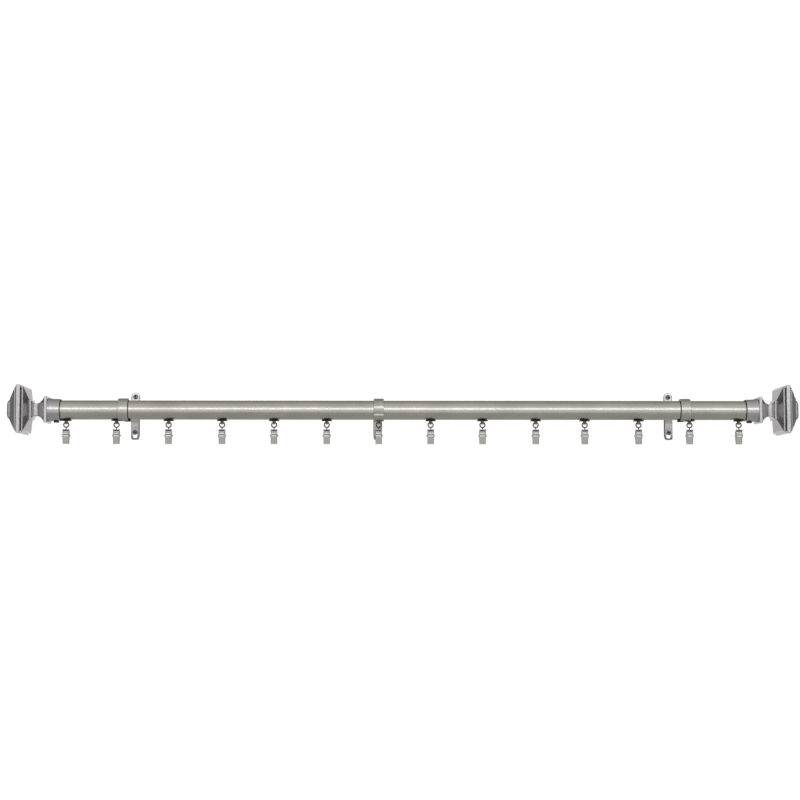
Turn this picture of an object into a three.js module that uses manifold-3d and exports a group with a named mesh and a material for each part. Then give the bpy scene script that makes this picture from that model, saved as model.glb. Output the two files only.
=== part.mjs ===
// Curtain rod with brackets: a slotted pole with a square finial at each end, held in three
// wall brackets. Fourteen gliders run in the slot, and a spring clip hangs from each glider.
//
// Millimetres, +Z up, +X along the pole. The wall is the plane y = 0 and the pole lies in
// front of it, on the -Y side. The origin is on the wall behind the centre bracket, at the
// height of the pole's axis.

import * as THREE from 'three';
import { mergeVertices } from 'three/addons/utils/BufferGeometryUtils.js';
import Module from 'manifold-3d';

// ---- Driving dimensions ------------------------------------------------------------------

// Pole: a round tube with a slot along its underside, the track of the gliders.
const POLE_DIAMETER = 28;
const POLE_WALL = 1.2;
const POLE_PROJECTION = 130;
const POLE_LEFT_COLLAR = -458.5;
const POLE_RIGHT_COLLAR = 530.8;
const POLE_IN_COLLAR = 14;
const SLOT_WIDTH = 7;

// Brackets: a flat wall plate, and an arm bent from strip that ends in an open ring.
const LEFT_BRACKET = -368;
const CENTRE_BRACKET = 0;
const RIGHT_BRACKET = 443;
const PLATE_WIDTH = 13.2;
const PLATE_THICKNESS = 2;
const PLATE_REACH = 36;
const CENTRE_PLATE_TOP = 20;
const EAR_HOLE_HEIGHT = 29.3;
const EAR_HOLE_DIAMETER = 4.8;
const ARM_THICKNESS = 2.5;
const ARM_WIDTH = 11;
const ARM_BEND_RADIUS = 16;
const FOOT_WIDTH = 12;
const FOOT_SLOT_WIDTH = 6.6;
const FOOT_SLOT_CORNER = 1.6;
const FOOT_CORNER = 3;
const FOOT_TAPER = 12;
const FOOT_SLOT_TOP = -21.7;
const FOOT_SLOT_BOTTOM = -33.4;
const RING_WIDTH = 14.4;
const RING_OUTER_DIAMETER = 34;
const RING_INNER_DIAMETER = 28.8;
const RING_MOUTH = 12.5;

// Wall screws: pan heads with a cross recess.
const SCREW_HEAD_DIAMETER = 7.8;
const SCREW_HEAD_HEIGHT = 2.2;
const SCREW_SHANK_DIAMETER = 3.8;
const SCREW_LENGTH = 26;
const RECESS_LENGTH = 5.4;
const RECESS_WIDTH = 1.4;
const RECESS_DEPTH = 1.2;

// Finials: a round collar over the pole's end, then a square head. The head's steps are
// given as distance from the collar's open end and half of the square's side.
const COLLAR_LENGTH = 17;
const COLLAR_RADIUS = 16;
const COLLAR_FLARE_RADIUS = 17.3;
const SOCKET_RADIUS = 14.3;
const SOCKET_DEPTH = 15;
const FLANGE_HALF = 18.8;
const FLANGE_END = 21.3;
const NECK_HALF = 8.8;
const NECK_WAIST = 33.4;
const STEP_HALF = 14.4;
const STEP_START = 40.2;
const STEP_END = 42.9;
const MOULDING_HALF = 32.4;
const MOULDING_START = 48.2;
const MOULDING_END = 50.5;
const GROOVE_HALF = 29.2;
const RIM_HALF = 34.4;
const RIM_START = 52.8;
const RIM_END = 58;
const TERRACE_HALF = 30.7;
const TERRACE_END = 61;
const CROWN_HALF = 16.1;
const CROWN_END = 70.2;
const BUTTON_HALF = 13.8;
const BUTTON_START = 71.6;
const FINIAL_LENGTH = 76.5;
const LOCK_SCREW_OFFSET = 6;
const LOCK_SCREW_HEAD_DIAMETER = 8;
const LOCK_SCREW_HEAD_HEIGHT = 1.8;
const LOCK_SCREW_SHANK_DIAMETER = 4;
const LOCK_SCREW_REACH = 3.4;

// Gliders: a foot in the tube, a plate just under it and a lug that carries the clip's eye.
const STATIONS = [-450.4, -378, -303, -226, -151, -75, 0, 75, 150, 227, 298, 376, 450, 521.4];
const GLIDER_PLATE_LENGTH = 15;
const GLIDER_PLATE_DEPTH = 9;
const GLIDER_PLATE_TOP = -14.3;
const GLIDER_PLATE_THICKNESS = 1.3;
const FOOT_LENGTH = 12;
const FOOT_DEPTH = 11;
const FOOT_BOTTOM = -11.2;
const FOOT_HEIGHT = 2.5;
const NECK_LENGTH = 12;
const NECK_DEPTH = 5.2;
const LUG_LENGTH = 3.2;
const LUG_RADIUS = 2.5;
const LUG_HOLE_RADIUS = 1.5;
const LUG_SHOULDER_LENGTH = 5.8;
const LUG_SHOULDER_BOTTOM = -16.2;
const STOP_LENGTH = 8.5;
const STOP_SHOWING = 3.2;
const STOP_FOOT_DEPTH = 10.4;
const STOP_FOOT_HEIGHT = 1.6;
const STOP_NECK_DEPTH = 6.2;
const STOP_PLATE_THICKNESS = 2.2;

// Clips: a wire eye, a short stem and two sheet jaws on a pin.
const EYE_TOP = -17.5;
const EYE_RADIUS = 3.55;
const WIRE_RADIUS = 0.95;
const STEM_RADIUS = 0.9;
const CLIP_TOP = -27.6;
const CLIP_BOTTOM = -49;
const CLIP_WIDTH = 10;
const JAW_WIDTH = 9.2;
const JAW_TOP = -30;
const JAW_PIN_HEIGHT = -36.7;
const JAW_PIN_RADIUS = 0.8;
const JAW_HOLE_RADIUS = 1.1;
const JAW_SHEET = 0.8;
const JAW_SPREAD = 3.4;
const BRIDGE_LENGTH = 4.4;
const BRIDGE_THICKNESS = 1;
const EAR_THICKNESS = 0.9;
const EAR_HALF_HEIGHT = 1.7;
const EAR_BACK = 1.4;
const PIN_END = 0.4;

// Clearance between pieces that rest on each other.
const GAP = 0.3;

const POLE_RADIUS = POLE_DIAMETER / 2;
const POLE_AXIS_Y = -POLE_PROJECTION;

// ---- Finishes ----------------------------------------------------------------------------

const FINISHES = {
  pole: { color: 0xa8a59b, roughness: 0.34, metalness: 1.0 },
  casting: { color: 0xa7a5a4, roughness: 0.38, metalness: 1.0 },
  strip: { color: 0xa9a8a6, roughness: 0.42, metalness: 1.0 },
  screw: { color: 0x6e5a4c, roughness: 0.45, metalness: 1.0 },
  blackened: { color: 0x26241f, roughness: 0.5, metalness: 0.2 },
  glider: { color: 0x24221c, roughness: 0.55, metalness: 0.0 },
  clip: { color: 0xa6a69e, roughness: 0.4, metalness: 1.0 },
};

// ---- Solids ------------------------------------------------------------------------------

const wasm = await Module();
wasm.setup();

function toSolid(geometry) {
  const plain = geometry.clone();
  plain.deleteAttribute('normal');
  plain.deleteAttribute('uv');
  const merged = mergeVertices(plain, 1e-4);
  const vertProperties = new Float32Array(merged.attributes.position.array);
  const triVerts = new Uint32Array(merged.index.array);
  return new wasm.Manifold(new wasm.Mesh({ numProp: 3, vertProperties, triVerts }));
}

function toGeometry(solid) {
  const mesh = solid.getMesh();
  const geometry = new THREE.BufferGeometry();
  geometry.setAttribute('position', new THREE.BufferAttribute(mesh.vertProperties, 3));
  geometry.setIndex(new THREE.BufferAttribute(mesh.triVerts, 1));
  geometry.computeVertexNormals();
  return geometry;
}

function join(first, ...others) {
  return toGeometry(others.reduce((solid, other) => solid.add(toSolid(other)), toSolid(first)));
}

function cut(body, ...tools) {
  return toGeometry(tools.reduce((solid, tool) => solid.subtract(toSolid(tool)), toSolid(body)));
}

function common(first, second) {
  return toGeometry(toSolid(first).intersect(toSolid(second)));
}

// ---- Shape helpers -----------------------------------------------------------------------

const ALONG_X = new THREE.Matrix4().makeBasis(
  new THREE.Vector3(0, 1, 0), new THREE.Vector3(0, 0, 1), new THREE.Vector3(1, 0, 0));
const ALONG_MINUS_Y = new THREE.Matrix4().makeBasis(
  new THREE.Vector3(1, 0, 0), new THREE.Vector3(0, 0, 1), new THREE.Vector3(0, -1, 0));

// A box between two corners.
function box(low, high) {
  const size = high.map((value, axis) => value - low[axis]);
  const centre = high.map((value, axis) => (value + low[axis]) / 2);
  return new THREE.BoxGeometry(...size).translate(...centre);
}

function extrude(shape, depth, curveSegments) {
  return new THREE.ExtrudeGeometry(shape, { depth, steps: 1, bevelEnabled: false, curveSegments });
}

// An outline drawn in (y, z), extruded from low to high along X.
function extrudeX(shape, low, high, curveSegments = 6) {
  return extrude(shape, high - low, curveSegments).applyMatrix4(ALONG_X).translate(low, 0, 0);
}

// An outline drawn in (x, z), extruded between low and high along Y.
function extrudeY(shape, low, high, curveSegments = 6) {
  return extrude(shape, high - low, curveSegments).applyMatrix4(ALONG_MINUS_Y).translate(0, high, 0);
}

// A polygon through points, as an outline.
function polygon(points) {
  return new THREE.Shape(points.map(([across, up]) => new THREE.Vector2(across, up)));
}

// A solid of revolution about X, from points given as [distance along X, radius].
function turnX(points, segments, phase = 0) {
  const profile = points.map(([along, radius]) => new THREE.Vector2(radius, along));
  return new THREE.LatheGeometry(profile, segments, phase).rotateZ(-Math.PI / 2);
}

// A round rod along X, Y or Z.
function rod(radius, low, high, axis, sides = 12) {
  const geometry = new THREE.CylinderGeometry(radius, radius, high - low, sides);
  geometry.translate(0, (low + high) / 2, 0);
  if (axis === 'x') geometry.rotateZ(-Math.PI / 2);
  if (axis === 'z') geometry.rotateX(Math.PI / 2);
  return geometry;
}

// A slot along Z with rounded corners, or with round ends, as an outline in (x, z).
function upright(width, bottom, top, corner = width / 2) {
  const shape = new THREE.Shape();
  const inner = width / 2 - corner;
  const centres = [[inner, top - corner], [-inner, top - corner], [-inner, bottom + corner],
    [inner, bottom + corner]];
  centres.forEach(([across, up], quarter) => {
    const start = (quarter * Math.PI) / 2;
    shape.absarc(across, up, corner, start, start + Math.PI / 2, false);
  });
  return shape;
}

// A round band open at the bottom, as an outline in (y, z) about the pole's axis.
function openBand(outerRadius, innerRadius, mouth) {
  const outerHalf = Math.asin(mouth / 2 / outerRadius);
  const innerHalf = Math.asin(mouth / 2 / innerRadius);
  const down = -Math.PI / 2;
  const shape = new THREE.Shape();
  shape.absarc(0, 0, outerRadius, down + outerHalf, down - outerHalf + 2 * Math.PI, false);
  shape.absarc(0, 0, innerRadius, down - innerHalf + 2 * Math.PI, down + innerHalf, true);
  return shape;
}

// ---- Pole and finials --------------------------------------------------------------------

function poleTube() {
  const section = openBand(POLE_RADIUS, POLE_RADIUS - POLE_WALL, SLOT_WIDTH);
  const low = POLE_LEFT_COLLAR - POLE_IN_COLLAR;
  const high = POLE_RIGHT_COLLAR + POLE_IN_COLLAR;
  return extrudeX(section, low, high, 30);
}

// The collar slides over the pole's end, so its socket is open at x = 0.
function finialCollar() {
  return turnX([
    [SOCKET_DEPTH, 0],
    [SOCKET_DEPTH, SOCKET_RADIUS],
    [0, SOCKET_RADIUS],
    [0, COLLAR_RADIUS - 0.3],
    [0.8, COLLAR_RADIUS],
    [COLLAR_LENGTH - 4.5, COLLAR_RADIUS + 0.3],
    [COLLAR_LENGTH - 0.5, COLLAR_FLARE_RADIUS],
    [COLLAR_LENGTH + 1, COLLAR_FLARE_RADIUS],
    [COLLAR_LENGTH + 1, 0],
  ], 28);
}

// The hollow curve of the neck, between the flange and the step.
function neckCurve() {
  const flangeFoot = new THREE.Vector2(FLANGE_END + 0.3, FLANGE_HALF - 1.6);
  const waist = new THREE.Vector2(NECK_WAIST, NECK_HALF);
  const stepFoot = new THREE.Vector2(STEP_START - 0.2, STEP_HALF - 1.2);
  const fromFlange = new THREE.QuadraticBezierCurve(
    flangeFoot, new THREE.Vector2(FLANGE_END + 3.5, NECK_HALF), waist);
  const toStep = new THREE.QuadraticBezierCurve(
    waist, new THREE.Vector2(STEP_START - 1.6, NECK_HALF + 0.1), stepFoot);
  return [...fromFlange.getPoints(6), ...toStep.getPoints(5).slice(1)].map((point) => [point.x, point.y]);
}

// The button's dome, a flattened quarter of an ellipse that ends on the axis.
function buttonDome() {
  const steps = 4;
  const points = [];
  for (let step = 0; step <= steps; step += 1) {
    const angle = (step / steps) * (Math.PI / 2);
    const along = BUTTON_START + (FINIAL_LENGTH - BUTTON_START) * Math.sin(angle);
    points.push([along, step === steps ? 0 : BUTTON_HALF * Math.cos(angle) ** 0.75]);
  }
  return points;
}

// The square head: a four-sided turned solid whose corners stand at root two times the half side.
function finialHead() {
  const outline = [
    [COLLAR_LENGTH - 0.2, 0],
    [COLLAR_LENGTH - 0.2, FLANGE_HALF - 0.5],
    [COLLAR_LENGTH + 0.3, FLANGE_HALF],
    [FLANGE_END - 0.3, FLANGE_HALF],
    [FLANGE_END, FLANGE_HALF - 0.5],
    ...neckCurve(),
    [STEP_START, STEP_HALF],
    [STEP_END - 0.2, STEP_HALF],
    [STEP_END, STEP_HALF - 0.3],
    [MOULDING_START - 0.2, MOULDING_HALF - 1.8],
    [MOULDING_START, MOULDING_HALF - 0.8],
    [MOULDING_START + 0.6, MOULDING_HALF],
    [MOULDING_END - 0.6, MOULDING_HALF],
    [MOULDING_END, MOULDING_HALF - 0.7],
    [(MOULDING_END + RIM_START) / 2, GROOVE_HALF],
    [RIM_START, RIM_HALF - 0.6],
    [RIM_START + 0.6, RIM_HALF],
    [RIM_END - 0.6, RIM_HALF],
    [RIM_END, RIM_HALF - 0.7],
    [RIM_END + 1.6, TERRACE_HALF + 0.7],
    [RIM_END + 1.7, TERRACE_HALF + 0.1],
    [TERRACE_END, TERRACE_HALF - 0.2],
    [TERRACE_END + 0.1, TERRACE_HALF - 1],
    [CROWN_END - 3.4, CROWN_HALF + 5],
    [CROWN_END - 3, CROWN_HALF + 4],
    [CROWN_END, CROWN_HALF],
    [CROWN_END + 0.2, BUTTON_HALF + 0.2],
    [BUTTON_START - 0.2, BUTTON_HALF],
    ...buttonDome(),
  ];
  const corners = outline.map(([along, half]) => [along, half * Math.SQRT2]);
  return turnX(corners, 4, Math.PI / 4);
}

function finial() {
  const lockHole = rod(LOCK_SCREW_SHANK_DIAMETER / 2 + GAP, -COLLAR_RADIUS - 2, -2, 'z');
  lockHole.translate(LOCK_SCREW_OFFSET, 0, 0);
  return cut(join(finialHead(), finialCollar()), lockHole);
}

// The low black screw that locks the collar: it comes up through the collar into the slot.
function lockScrew() {
  const headTop = -COLLAR_RADIUS - GAP;
  const head = rod(LOCK_SCREW_HEAD_DIAMETER / 2, headTop - LOCK_SCREW_HEAD_HEIGHT, headTop, 'z', 20);
  const shank = rod(LOCK_SCREW_SHANK_DIAMETER / 2, headTop - 0.2, headTop + LOCK_SCREW_REACH, 'z');
  const driverSlot = box([-3, -0.5, headTop - 2.5], [3, 0.5, headTop - 1]);
  return cut(join(head, shank), driverSlot);
}

// ---- Brackets ----------------------------------------------------------------------------

function footSlot(low, high) {
  const outline = upright(FOOT_SLOT_WIDTH, FOOT_SLOT_BOTTOM, FOOT_SLOT_TOP, FOOT_SLOT_CORNER);
  return extrudeY(outline, low, high, 4);
}

function wallPlate(top, hasEarHole) {
  const outline = upright(PLATE_WIDTH, -PLATE_REACH, top);
  const tools = [footSlot(-PLATE_THICKNESS - 1, 1)];
  if (hasEarHole) {
    const hole = rod(EAR_HOLE_DIAMETER / 2, -PLATE_THICKNESS - 1, 1, 'y', 16);
    tools.push(hole.translate(0, 0, EAR_HOLE_HEIGHT));
  }
  return cut(extrudeY(outline, -PLATE_THICKNESS, 0, 8), ...tools);
}

// The strip seen from its side: up the wall plate, round the bend and out to the ring.
function armSideOutline() {
  const back = -PLATE_THICKNESS - GAP;
  const front = back - ARM_THICKNESS;
  const bendY = back - ARM_BEND_RADIUS;
  const top = ARM_THICKNESS / 2;
  const bendZ = top - ARM_BEND_RADIUS;
  const ringBack = POLE_AXIS_Y + (RING_OUTER_DIAMETER + RING_INNER_DIAMETER) / 4;
  const shape = new THREE.Shape();
  shape.moveTo(back, -PLATE_REACH);
  shape.lineTo(back, bendZ);
  shape.absarc(bendY, bendZ, ARM_BEND_RADIUS, 0, Math.PI / 2, false);
  shape.lineTo(ringBack, top);
  shape.lineTo(ringBack, -top);
  shape.lineTo(bendY, -top);
  shape.absarc(bendY, bendZ, ARM_BEND_RADIUS - ARM_THICKNESS, Math.PI / 2, 0, true);
  shape.lineTo(front, -PLATE_REACH);
  return shape;
}

// The strip seen from the front: a rounded foot that narrows to the arm above its slot.
function armFrontOutline() {
  const corner = FOOT_CORNER;
  const half = FOOT_WIDTH / 2;
  const shape = new THREE.Shape();
  shape.moveTo(-half + corner, -PLATE_REACH);
  shape.lineTo(half - corner, -PLATE_REACH);
  shape.absarc(half - corner, -PLATE_REACH + corner, corner, -Math.PI / 2, 0, false);
  shape.lineTo(half, FOOT_SLOT_TOP);
  shape.lineTo(ARM_WIDTH / 2, FOOT_SLOT_TOP + FOOT_TAPER);
  shape.lineTo(ARM_WIDTH / 2, ARM_THICKNESS);
  shape.lineTo(-ARM_WIDTH / 2, ARM_THICKNESS);
  shape.lineTo(-ARM_WIDTH / 2, FOOT_SLOT_TOP + FOOT_TAPER);
  shape.lineTo(-half, FOOT_SLOT_TOP);
  shape.lineTo(-half, -PLATE_REACH + corner);
  shape.absarc(-half + corner, -PLATE_REACH + corner, corner, Math.PI, 1.5 * Math.PI, false);
  return shape;
}

function bracketArm() {
  const side = extrudeX(armSideOutline(), -FOOT_WIDTH / 2, FOOT_WIDTH / 2);
  const front = extrudeY(armFrontOutline(), POLE_AXIS_Y, 0, 4);
  const strip = cut(common(side, front), footSlot(-12, 1));
  const band = openBand(RING_OUTER_DIAMETER / 2, RING_INNER_DIAMETER / 2, RING_MOUTH);
  const ring = extrudeX(band, -RING_WIDTH / 2, RING_WIDTH / 2, 22);
  return join(strip, ring.translate(0, POLE_AXIS_Y, 0));
}

// A wall screw along Y. Its head rests on the face at y = seat and it points into the wall.
function wallScrew(seat) {
  const front = seat - GAP;
  const radius = SCREW_HEAD_DIAMETER / 2;
  const shankRadius = SCREW_SHANK_DIAMETER / 2;
  const body = turnX([
    [0, 0],
    [0, radius * 0.55],
    [SCREW_HEAD_HEIGHT * 0.35, radius * 0.88],
    [SCREW_HEAD_HEIGHT * 0.8, radius],
    [SCREW_HEAD_HEIGHT, radius],
    [SCREW_HEAD_HEIGHT, shankRadius],
    [SCREW_LENGTH - 5, shankRadius],
    [SCREW_LENGTH, 0],
  ], 16);
  const half = RECESS_LENGTH / 2;
  const thin = RECESS_WIDTH / 2;
  const level = box([-1, -half, -thin], [RECESS_DEPTH, half, thin]);
  const plumb = box([-1, -thin, -half], [RECESS_DEPTH, thin, half]);
  return cut(body, level, plumb).rotateZ(Math.PI / 2).translate(0, front - SCREW_HEAD_HEIGHT, 0);
}

// ---- Gliders and track stops -------------------------------------------------------------

function glider() {
  const plateBottom = GLIDER_PLATE_TOP - GLIDER_PLATE_THICKNESS;
  const footTop = FOOT_BOTTOM + FOOT_HEIGHT;
  const foot = box(
    [-FOOT_LENGTH / 2, -FOOT_DEPTH / 2, FOOT_BOTTOM], [FOOT_LENGTH / 2, FOOT_DEPTH / 2, footTop]);
  const neck = box(
    [-NECK_LENGTH / 2, -NECK_DEPTH / 2, GLIDER_PLATE_TOP - 0.2],
    [NECK_LENGTH / 2, NECK_DEPTH / 2, FOOT_BOTTOM + 0.2]);
  const shoulder = box(
    [-LUG_SHOULDER_LENGTH / 2, -LUG_RADIUS, LUG_SHOULDER_BOTTOM],
    [LUG_SHOULDER_LENGTH / 2, LUG_RADIUS, plateBottom + 0.2]);
  const plate = box(
    [-GLIDER_PLATE_LENGTH / 2, -GLIDER_PLATE_DEPTH / 2, plateBottom],
    [GLIDER_PLATE_LENGTH / 2, GLIDER_PLATE_DEPTH / 2, GLIDER_PLATE_TOP]);
  const lugOutline = new THREE.Shape();
  const lugCentre = EYE_TOP - 0.6;
  lugOutline.moveTo(LUG_RADIUS, plateBottom + 0.2);
  lugOutline.lineTo(-LUG_RADIUS, plateBottom + 0.2);
  lugOutline.absarc(0, lugCentre, LUG_RADIUS, Math.PI, 2 * Math.PI, false);
  const lug = extrudeX(lugOutline, -LUG_LENGTH / 2, LUG_LENGTH / 2, 6);
  const hole = rod(LUG_HOLE_RADIUS, -LUG_LENGTH, LUG_LENGTH, 'x', 10);
  return cut(join(plate, neck, foot, shoulder, lug), hole.translate(0, 0, EYE_TOP - 0.2));
}

// A black stop snapped into the slot under each end ring, on the pole's middle side.
function trackStop() {
  const half = STOP_LENGTH / 2;
  const foot = box(
    [-half, -STOP_FOOT_DEPTH / 2, FOOT_BOTTOM],
    [half, STOP_FOOT_DEPTH / 2, FOOT_BOTTOM + STOP_FOOT_HEIGHT]);
  const neck = box(
    [-half, -STOP_NECK_DEPTH / 2, GLIDER_PLATE_TOP - 0.2],
    [half, STOP_NECK_DEPTH / 2, FOOT_BOTTOM + 0.2]);
  const plate = box(
    [-half, -GLIDER_PLATE_DEPTH / 2, GLIDER_PLATE_TOP - STOP_PLATE_THICKNESS],
    [half, GLIDER_PLATE_DEPTH / 2, GLIDER_PLATE_TOP]);
  return join(foot, neck, plate);
}

// ---- Clips -------------------------------------------------------------------------------

// A jaw's sheet seen from its side, on the front (-1) or the back (1) of the clip.
function jawOutline(side, top) {
  const points = [
    [JAW_SPREAD, top],
    [JAW_SPREAD - 0.2, JAW_PIN_HEIGHT - 1.5],
    [GAP / 2 + JAW_SHEET, CLIP_BOTTOM],
    [GAP / 2, CLIP_BOTTOM],
    [JAW_SPREAD - 0.2 - JAW_SHEET, JAW_PIN_HEIGHT - 1.5],
    [JAW_SPREAD - JAW_SHEET, top],
  ];
  const placed = points.map(([across, up]) => [side * across, up]);
  return polygon(side < 0 ? placed.reverse() : placed);
}

// A clip body: the eye, its stem, the front jaw with an ear at each side, and the pin.
function clipBody() {
  const eye = new THREE.TorusGeometry(EYE_RADIUS, WIRE_RADIUS, 6, 14).rotateX(Math.PI / 2);
  eye.translate(0, 0, EYE_TOP - EYE_RADIUS);
  const stem = rod(STEM_RADIUS, CLIP_TOP - 0.8, EYE_TOP - 2 * EYE_RADIUS, 'z', 8);
  const bridge = box(
    [-BRIDGE_LENGTH / 2, -JAW_SPREAD + 0.1, CLIP_TOP - BRIDGE_THICKNESS],
    [BRIDGE_LENGTH / 2, STEM_RADIUS, CLIP_TOP]);
  const sheet = extrudeX(jawOutline(-1, CLIP_TOP), -CLIP_WIDTH / 2, CLIP_WIDTH / 2);
  const pinEnd = CLIP_WIDTH / 2 + PIN_END;
  const pin = rod(JAW_PIN_RADIUS, -pinEnd, pinEnd, 'x', 8);
  const pieces = [stem, bridge, sheet, pin.translate(0, 0, JAW_PIN_HEIGHT)];
  for (const side of [-1, 1]) {
    const inner = side * (CLIP_WIDTH / 2 - 0.05);
    const outer = side * (CLIP_WIDTH / 2 - 0.05 + EAR_THICKNESS);
    pieces.push(box(
      [Math.min(inner, outer), -JAW_SPREAD + 0.25, JAW_PIN_HEIGHT - EAR_HALF_HEIGHT],
      [Math.max(inner, outer), EAR_BACK, JAW_PIN_HEIGHT + EAR_HALF_HEIGHT]));
  }
  return join(eye, ...pieces);
}

// The back jaw, with an ear at each side that turns on the pin.
function clipJaw() {
  const sheet = extrudeX(jawOutline(1, JAW_TOP), -JAW_WIDTH / 2, JAW_WIDTH / 2);
  const ears = [-1, 1].map((side) => {
    const inner = side * (JAW_WIDTH / 2 - 1);
    const outer = side * JAW_WIDTH / 2;
    return box(
      [Math.min(inner, outer), -1.4, JAW_PIN_HEIGHT - 1.5],
      [Math.max(inner, outer), JAW_SPREAD - 0.5, JAW_PIN_HEIGHT + 1.5]);
  });
  const hole = rod(JAW_HOLE_RADIUS, -JAW_WIDTH, JAW_WIDTH, 'x', 8);
  return cut(join(sheet, ...ears), hole.translate(0, 0, JAW_PIN_HEIGHT));
}

// ---- Assembly ----------------------------------------------------------------------------

function place(parent, name, geometry, finish) {
  const mesh = new THREE.Mesh(geometry, new THREE.MeshStandardMaterial(FINISHES[finish]));
  mesh.name = name;
  parent.add(mesh);
  return mesh;
}

const curtainRod = new THREE.Group();

const poleGroup = new THREE.Group();
poleGroup.position.y = POLE_AXIS_Y;
curtainRod.add(poleGroup);
place(poleGroup, 'pole', poleTube(), 'pole');

const ENDS = [
  { side: 'left', collar: POLE_LEFT_COLLAR, turn: Math.PI, bracket: LEFT_BRACKET, inward: 1 },
  { side: 'right', collar: POLE_RIGHT_COLLAR, turn: 0, bracket: RIGHT_BRACKET, inward: -1 },
];
for (const end of ENDS) {
  const endGroup = new THREE.Group();
  endGroup.position.x = end.collar;
  endGroup.rotation.z = end.turn;
  poleGroup.add(endGroup);
  place(endGroup, `finial_${end.side}`, finial(), 'casting');
  const screw = place(endGroup, `finial_screw_${end.side}`, lockScrew(), 'blackened');
  screw.position.x = LOCK_SCREW_OFFSET;
  const stop = place(poleGroup, `track_stop_${end.side}`, trackStop(), 'glider');
  const ringFace = end.bracket + end.inward * (RING_WIDTH / 2);
  stop.position.x = ringFace + end.inward * (STOP_SHOWING - STOP_LENGTH / 2);
}

const BRACKETS = [
  { side: 'left', station: LEFT_BRACKET, top: PLATE_REACH, ear: true },
  { side: 'centre', station: CENTRE_BRACKET, top: CENTRE_PLATE_TOP, ear: false },
  { side: 'right', station: RIGHT_BRACKET, top: PLATE_REACH, ear: true },
];
for (const bracket of BRACKETS) {
  const group = new THREE.Group();
  group.position.x = bracket.station;
  curtainRod.add(group);
  place(group, `wall_plate_${bracket.side}`, wallPlate(bracket.top, bracket.ear), 'strip');
  place(group, `arm_${bracket.side}`, bracketArm(), 'strip');
  const armFace = -PLATE_THICKNESS - GAP - ARM_THICKNESS;
  const footScrew = place(group, `foot_screw_${bracket.side}`, wallScrew(armFace), 'screw');
  footScrew.position.z = FOOT_SLOT_TOP - FOOT_SLOT_WIDTH / 2;
  if (bracket.ear) {
    const earScrew = place(group, `ear_screw_${bracket.side}`, wallScrew(-PLATE_THICKNESS), 'screw');
    earScrew.position.z = EAR_HOLE_HEIGHT;
  }
}

STATIONS.forEach((station, index) => {
  const number = String(index + 1).padStart(2, '0');
  const carrier = new THREE.Group();
  carrier.position.x = station;
  poleGroup.add(carrier);
  place(carrier, `glider_${number}`, glider(), 'glider');
  place(carrier, `clip_${number}`, clipBody(), 'clip');
  place(carrier, `jaw_${number}`, clipJaw(), 'clip');
});

export default curtainRod;
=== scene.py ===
"""Curtain rod with brackets: the looks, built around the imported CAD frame.

A slotted 28 mm pole with a square finial at each end lies in the open rings of three wall
brackets. Fourteen gliders run in the slot under it, and a sprung clip hangs from each.
Geometry is written in millimetres, in the frame of the CAD: +X along the pole, +Z up and the
wall at y = 0 behind it. new_mesh() turns it into metres.
"""

import math

import bmesh
import bpy
from mathutils import Matrix, Vector


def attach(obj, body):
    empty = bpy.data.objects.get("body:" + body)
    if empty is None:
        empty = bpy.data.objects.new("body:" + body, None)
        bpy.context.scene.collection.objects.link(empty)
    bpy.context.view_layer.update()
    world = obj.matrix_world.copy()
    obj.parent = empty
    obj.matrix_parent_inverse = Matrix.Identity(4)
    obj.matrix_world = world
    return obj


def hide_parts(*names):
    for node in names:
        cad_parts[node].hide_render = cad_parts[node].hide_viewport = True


MM = 0.001
TAU = 2 * math.pi

# ---- Dimensions, in millimetres, as in the CAD ------------------------------------------------

AXIS_Y = -130.0
POLE_RADIUS = 14.0
POLE_WALL = 1.2
POLE_ENDS = (-472.5, 544.8)
SLOT_WIDTH = 7.0

COLLAR_ENDS = {"left": -458.5, "right": 530.8}
BRACKETS = {"left": -368.0, "centre": 0.0, "right": 443.0}
PLATE_TOPS = {"left": 36.0, "centre": 20.0, "right": 36.0}
PLATE_WIDTH = 13.2
PLATE_THICKNESS = 2.0
PLATE_REACH = 36.0
EAR_HOLE_HEIGHT = 29.3
EAR_HOLE_DIAMETER = 4.8
STRIP = 2.5
ARM_WIDTH = 11.0
ARM_BEND_RADIUS = 16.0
FOOT_WIDTH = 12.0
FOOT_CORNER = 3.0
FOOT_SLOT_WIDTH = 6.6
FOOT_SLOT_CORNER = 1.6
FOOT_SLOT_BOTTOM = -33.4
FOOT_SLOT_TOP = -21.7
RING_WIDTH = 14.4
RING_OUTER = 17.0
RING_INNER = 14.4
RING_MOUTH = 12.5
SHADE_SLEEVE_INNER = 14.04
SHADE_SLEEVE_MOUTH = 11.5
SCREW_HEAD_HEIGHT = 2.2
STOP_LENGTH = 8.5
STOP_REACH = 3.2
GAP = 0.3

CLIP_PIN_HEIGHT = -36.7
LUG_HOLE_HEIGHT = -17.7

STATIONS = [-450.4, -378, -303, -226, -151, -75, 0, 75, 150, 227, 298, 376, 450, 521.4]

# ---- Meshes -----------------------------------------------------------------------------------


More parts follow.
